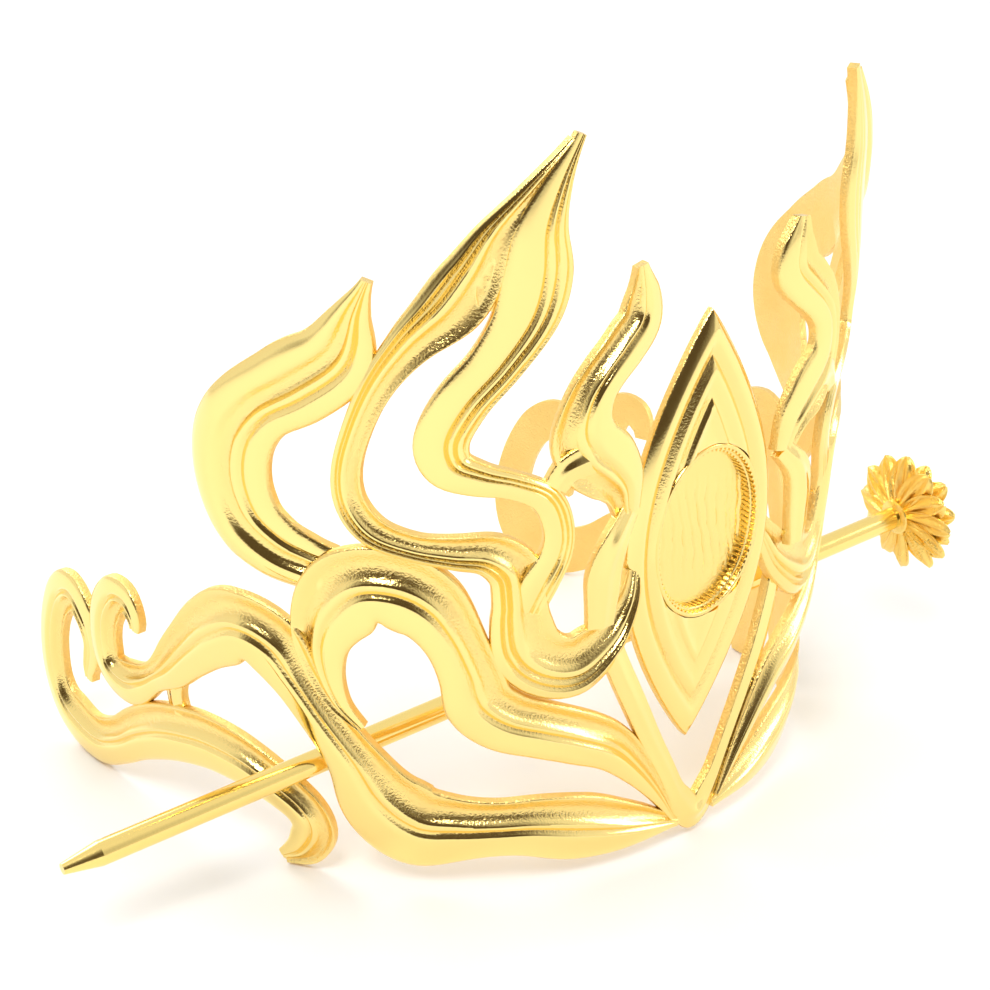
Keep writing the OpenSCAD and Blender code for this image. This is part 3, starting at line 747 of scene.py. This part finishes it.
cup = joined("cup_reeded", [
    add_object("wall", cup_wall()), add_object("floor", scored_floor()),
    reed_ring(0.26, 0.25, -CUP_DEPTH, -1.65), reed_ring(0.68, 0.2, -0.35, CUP_RIM - 0.05),
    reed_ring(1.14, 0.2, FLOOR - 0.1, -0.4)])
cup.data.transform(PLAQUE_AT)
finish_metal(cup, cup_gold, FINE_CREASE)
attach(cup, "crown")
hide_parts("stone_cup")
print("cup:", len(cup.data.polygons), "faces")

# %% [markdown]
# ## The flower on the hairpin
# Each petal is a ribbed, slightly cupped blade, and the real flower has three
# rounds of them, each smaller and more upright than the last. Petals could be
# copied and turned by hand, but then a change to one means a change to all. One
# petal is modelled, and Geometry Nodes copy it round the middle with a small
# chance turn, from a fixed seed, so that no two sit quite alike.

# %% One petal, one unit long and one unit wide
PETAL_LENGTHS, PETAL_WIDTHS, PETAL_SATIN_AND_SHADE = 22, 21, 0.6
RIBS, RIB_HIGH, PETAL_THICK = 3, 0.2, 0.32


def petal_mesh():
    """A closed blade: its outline, its ribs, its cupping and its thickness."""
    along = np.linspace(0.12, 1, PETAL_LENGTHS)[:, None]
    across = np.linspace(-1, 1, PETAL_WIDTHS)[None, :]
    outline = np.maximum(np.sin(math.pi * along**1.3), 0.01) ** 0.5
    rib_wave = np.cos(across * RIBS * math.pi)
    ribs = RIB_HIGH * rib_wave * np.sin(np.clip(along, 0, 0.97) * math.pi)
    cupping = 0.3 * across**2 * along + 0.25 * (along - 0.6) ** 2
    x = np.broadcast_to(along, (PETAL_LENGTHS, PETAL_WIDTHS))
    y = across * outline
    z = ribs + cupping
    # Thickest along the middle, thin at the edges and at the tip.
    thick = PETAL_THICK * (1 - 0.6 * across**2) * np.minimum(1, (1.02 - along) * 6)
    top = np.stack([x, y, z + thick / 2], axis=-1)
    low = np.stack([x, y, z - thick / 2], axis=-1)[:, ::-1]
    # Hollows between the ribs and the back get satin, which also paints them a deeper orange as
    # shade.
    satin_and_shade = np.concatenate([0.5 - 0.5 * rib_wave[0], np.ones(PETAL_WIDTHS)]) * PETAL_SATIN_AND_SHADE
    return ring_mesh("petal", np.concatenate([top, low], axis=1), satin_and_shade)


petal_source = add_object("petal", petal_mesh())
print("one petal:", len(petal_source.data.polygons), "faces")

# %% A tree of petals round the middle
PETAL_DEPTH, PETAL_ROLL, PETAL_CHANCE = 1.5 * MM, math.radians(9), 0.06


def petal_tree():
    tree, given, ids = new_tree("petals round a middle", {
        "Petal": "Object", "Count": "Int", "Reach": "Float", "Half width": "Float",
        "Tilt": "Float", "Rise": "Float", "Turn": "Float", "Seed": "Int",
        "Material": "Material"})

    def worked_out(operation, first, second):
        return add_node(tree, "ShaderNodeMath", {0: first, 1: second},
                        operation=operation).outputs["Value"]

    def vector(**axes):
        return add_node(tree, "ShaderNodeCombineXYZ", axes).outputs["Vector"]

    index = add_node(tree, "GeometryNodeInputIndex").outputs["Index"]
    chance = add_node(tree, "FunctionNodeRandomValue", {
        2: -PETAL_CHANCE, 3: PETAL_CHANCE, "Seed": given["Seed"]}).outputs[1]
    step = worked_out("DIVIDE", math.tau, given["Count"])
    share = worked_out("ADD", index, given["Turn"])
    angle = worked_out("ADD", worked_out("MULTIPLY", share, step), chance)
    tilt = worked_out("ADD", worked_out("MULTIPLY", given["Tilt"], -1), chance)
    points = add_node(tree, "GeometryNodePoints", {
        "Count": given["Count"], "Position": vector(Z=given["Rise"])})
    petal = add_node(tree, "GeometryNodeObjectInfo", {"Object": given["Petal"]})
    turned = add_node(tree, "FunctionNodeEulerToRotation", {
        "Euler": vector(X=PETAL_ROLL, Y=tilt, Z=angle)})
    copies = add_node(tree, "GeometryNodeInstanceOnPoints", {
        "Points": points.outputs[0], "Instance": petal.outputs["Geometry"],
        "Rotation": turned.outputs["Rotation"],
        "Scale": vector(X=given["Reach"], Y=given["Half width"], Z=PETAL_DEPTH)})
    end_tree(tree, copies.outputs["Instances"], given["Material"])
    return tree, ids


# %% Three rounds: count, reach, half width, tilt, rise, and turn in steps
ROUNDS = [(12, 0.99, 2.4, 11, 0.8, 0), (10, 0.87, 2, 27, 1.8, 0.3), (7, 0.6, 1.6, 46, 2.2, 0.2)]
FLOWER_R, FIRST_SEED = 9.6, 3

petals, petal_ids = petal_tree()
flower_parts = []
for seed, (count, reach, half, tilt, rise, turn) in enumerate(ROUNDS, FIRST_SEED):
    flower_parts.append(nodes_object("petal_round", petals, {
        petal_ids["Petal"]: petal_source, petal_ids["Count"]: count,
        petal_ids["Reach"]: reach * FLOWER_R * MM, petal_ids["Half width"]: half * MM,
        petal_ids["Tilt"]: math.radians(tilt), petal_ids["Rise"]: rise * MM,
        petal_ids["Turn"]: float(turn), petal_ids["Seed"]: seed,
        petal_ids["Material"]: flower_gold}))
bpy.data.objects.remove(petal_source)
print("petals:", [count for count, *_ in ROUNDS])

# %% Boss in the middle, and the flower on the pin's end
# The boss's satin also tints it a deeper orange, the painted shade of the sandy skin.
BOSS_R, BOSS_HEIGHT, BOSS_SIDES, BOSS_SATIN_AND_SHADE = 2.66, 4.5, 48, 0.3
BOSS_STEPS = [
    (0.4, 0), (BOSS_R - 0.3, 0), (BOSS_R, 0.3), (BOSS_R * 0.94, 1.5), (BOSS_R * 0.84, 3.6),
    (1.5, BOSS_HEIGHT - 0.2), (0.8, BOSS_HEIGHT), (0.1, BOSS_HEIGHT + 0.05)]
PIN_LEFT, PIN_RIGHT = Vector((-44.8, 28.2, 16.7)), Vector((37.5, 13.9, 23.6))
FLOWER_REACH = 104.05  # mm along the pin from its left point to the flower
pin_dir = (PIN_RIGHT - PIN_LEFT).normalized()
PIN_AT = (Matrix.Translation((PIN_LEFT + pin_dir * FLOWER_REACH) * MM)
          @ Matrix.Rotation(math.atan2(pin_dir.y, pin_dir.x), 4, "Z")
          @ Matrix.Rotation(math.pi / 2 - math.asin(pin_dir.z), 4, "Y"))

turns = np.linspace(0, 2 * np.pi, BOSS_SIDES, endpoint=False)
boss_rings = np.stack([
    np.stack([r * np.cos(turns), r * np.sin(turns), np.full(BOSS_SIDES, z)], axis=1)
    for r, z in BOSS_STEPS]) * MM
flower_parts.append(add_object("boss", ring_mesh("boss", boss_rings, BOSS_SATIN_AND_SHADE)))
flower = joined("flower_petals", flower_parts)
flower.data.transform(PIN_AT)
finish_metal(flower, flower_gold, FINE_CREASE)
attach(flower, "hairpin")
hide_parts("flower_head")
print("flower:", len(flower.data.polygons), "faces")

# %% [markdown]
# ## The pin's shaft
# The shaft is a plain polished rod with a short taper, and the frame's own mesh
# already has that shape. So it is kept as it is, and only gets its gold.

# %% Gold on the shaft
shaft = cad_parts["pin_shaft"]
shaft.data.materials.clear()
shaft.data.materials.append(pin_gold)
print("shaft:", len(shaft.data.polygons), "faces")

# %% [markdown]
# ## Floor and light
# The photograph is a bright studio picture: white all round, and a dark camera
# side that shows as brown lines on the faces turned towards it. Polished metal
# has no look of its own without something to mirror, so the world matters more
# than the lamps. It is white with a soft dark patch on that side, made by
# nodes, and large lamps stand above for the soft highlights.

# %% Floor
PAPER_HALF, PAPER_DROP, PAPER_WHITE, PAPER_ROUGH = 4, 0.0002, 0.92, 0.7
floor_mesh = bpy.data.meshes.new("floor")
corners = [(x * PAPER_HALF, y * PAPER_HALF, 0) for x, y in ((-1, -1), (1, -1), (1, 1), (-1, 1))]
floor_mesh.from_pydata(corners, [], [(0, 1, 2, 3)])
floor = add_object("floor", floor_mesh)
floor.location.z = -PAPER_DROP
paper = bpy.data.materials.new("pale floor")
paper.use_nodes = True
paper_shader = paper.node_tree.nodes["Principled BSDF"]
paper_shader.inputs["Base Color"].default_value = (PAPER_WHITE, PAPER_WHITE, PAPER_WHITE, 1)
paper_shader.inputs["Roughness"].default_value = PAPER_ROUGH
floor_mesh.materials.append(paper)
print("floor:", 2 * PAPER_HALF, "m wide")

# %% World with a dark camera side
DARK_SIDE = Vector((-0.72, -0.66, 0.22)).normalized()
DARK_FROM, DARK_FULL, DARK_COLOUR = 0.5, 0.86, (0.1, 0.075, 0.05, 1)
SKY_STRENGTH = 0.95

world = bpy.data.worlds.new("studio")
bpy.context.scene.world = world
world.use_nodes = True
studio = world.node_tree
towards = add_node(studio, "ShaderNodeTexCoord")
facing = add_node(studio, "ShaderNodeVectorMath", {
    0: towards.outputs["Generated"], 1: DARK_SIDE}, operation="DOT_PRODUCT")
shade = add_node(studio, "ShaderNodeValToRGB", {"Fac": facing.outputs["Value"]})
white_end, dark_end = shade.color_ramp.elements
white_end.position, white_end.color = DARK_FROM, (1, 1, 1, 1)
dark_end.position, dark_end.color = DARK_FULL, DARK_COLOUR
sky = studio.nodes["Background"]
studio.links.new(shade.outputs["Color"], sky.inputs["Color"])
sky.inputs["Strength"].default_value = SKY_STRENGTH
print("dark side towards:", [round(x, 2) for x in DARK_SIDE])

# %% Lamps: place, size across in metres, and power in watts
LAMPS = {
    "key": ((-0.5, -0.25, 0.75), 0.35, 3.6),
    "fill": ((0.7, -0.5, 0.5), 0.5, 2.4),
    "rim": ((0.1, 0.8, 0.6), 0.5, 2.4)}
LAMP_TARGET = Vector((0, 0.03, 0.05))

for name, (place, size, power) in LAMPS.items():
    light = bpy.data.lights.new(name, "AREA")
    light.shape, light.size, light.energy = "DISK", size, power
    lamp = add_object(name, light)
    lamp.location = place
    lamp.rotation_euler = (LAMP_TARGET - Vector(place)).to_track_quat("-Z", "Y").to_euler()
bpy.context.scene.view_settings.view_transform = "Standard"
bpy.context.scene.view_settings.look = "None"
print("lamps:", ", ".join(LAMPS))
